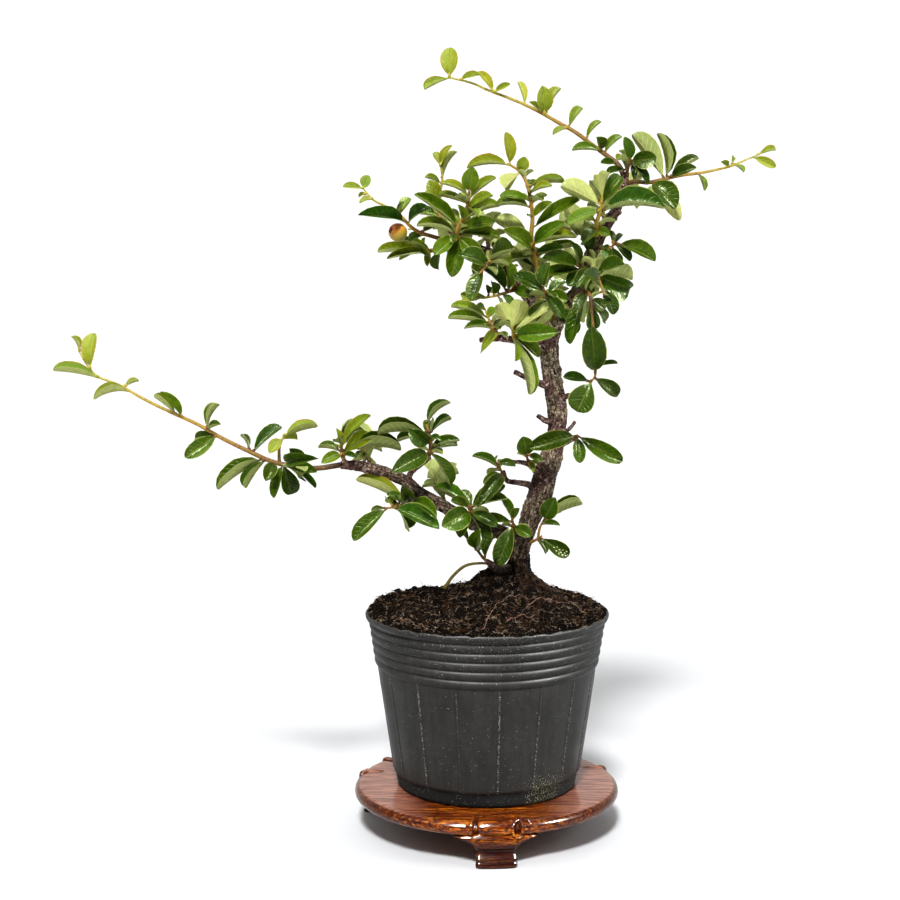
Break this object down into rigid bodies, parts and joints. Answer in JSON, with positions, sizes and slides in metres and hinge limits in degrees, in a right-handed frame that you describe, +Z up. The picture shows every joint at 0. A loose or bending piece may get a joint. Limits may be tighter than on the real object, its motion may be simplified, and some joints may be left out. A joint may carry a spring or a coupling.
{
  "type": "cotoneaster bonsai",
  "caption": "Young windswept cotoneaster bonsai with a leaning trunk, a long low branch and glossy oval leaves, in a soft ribbed nursery pot on a round three-footed wooden stand.",
  "frame": {"origin": "centre of the object's box, on the surface that the stand's feet rest on", "axes": "+Z up, -Y towards the bonsai's front, +X to the right as seen from the front, so the long low branch reaches towards -X"},
  "size_m": [0.3481, 0.1353, 0.3869],
  "materials": {
    "bark": "matte",
    "leaf": "satin",
    "young leaf": "satin",
    "pot plastic": "satin",
    "soil": "matte",
    "berry": "satin",
    "stand wood": "gloss"
  },
  "bodies": {
    "root": {"berry": "berry", "pot": "pot plastic", "shoot_back_left": "leaf", "shoot_back_left_end": "leaf", "shoot_back_low": "leaf", "shoot_back_low_end": "leaf", "shoot_back_middle": "leaf", "shoot_back_right": "leaf", "shoot_back_right_top": "leaf", "shoot_back_spur": "leaf", "shoot_back_trunk": "leaf", "shoot_base_right": "leaf", "shoot_front_left": "leaf", "shoot_front_right": "leaf", "shoot_hanging": "leaf", "shoot_inner_end": "leaf", "shoot_inner_left": "leaf", "shoot_inner_right": "leaf", "shoot_inner_trunk": "leaf", "shoot_left_fan": "leaf", "shoot_left_fork": "leaf", "shoot_left_low": "leaf", "shoot_left_tip": "young leaf", "shoot_left_twig": "leaf", "shoot_left_upright": "young leaf", "shoot_low_bud": "leaf", "shoot_low_mid": "leaf", "shoot_low_node": "leaf", "shoot_low_tip": "young leaf", "shoot_low_under": "leaf", "shoot_low_upright": "leaf", "shoot_mid_front": "leaf", "shoot_mid_left": "leaf", "shoot_middle": "leaf", "shoot_pale": "leaf", "shoot_pale_end": "leaf", "shoot_right": "young leaf", "shoot_right_dark": "leaf", "shoot_right_fan": "leaf", "shoot_right_mid": "leaf", "shoot_right_spur": "leaf", "shoot_top": "young leaf", "shoot_trunk_right": "leaf", "soil": "soil", "stand_leg_front": "stand wood", "stand_leg_left": "stand wood", "stand_leg_right": "stand wood", "stand_top": "stand wood", "sucker": "leaf", "wood": "bark"}
  },
  "joints": []
}
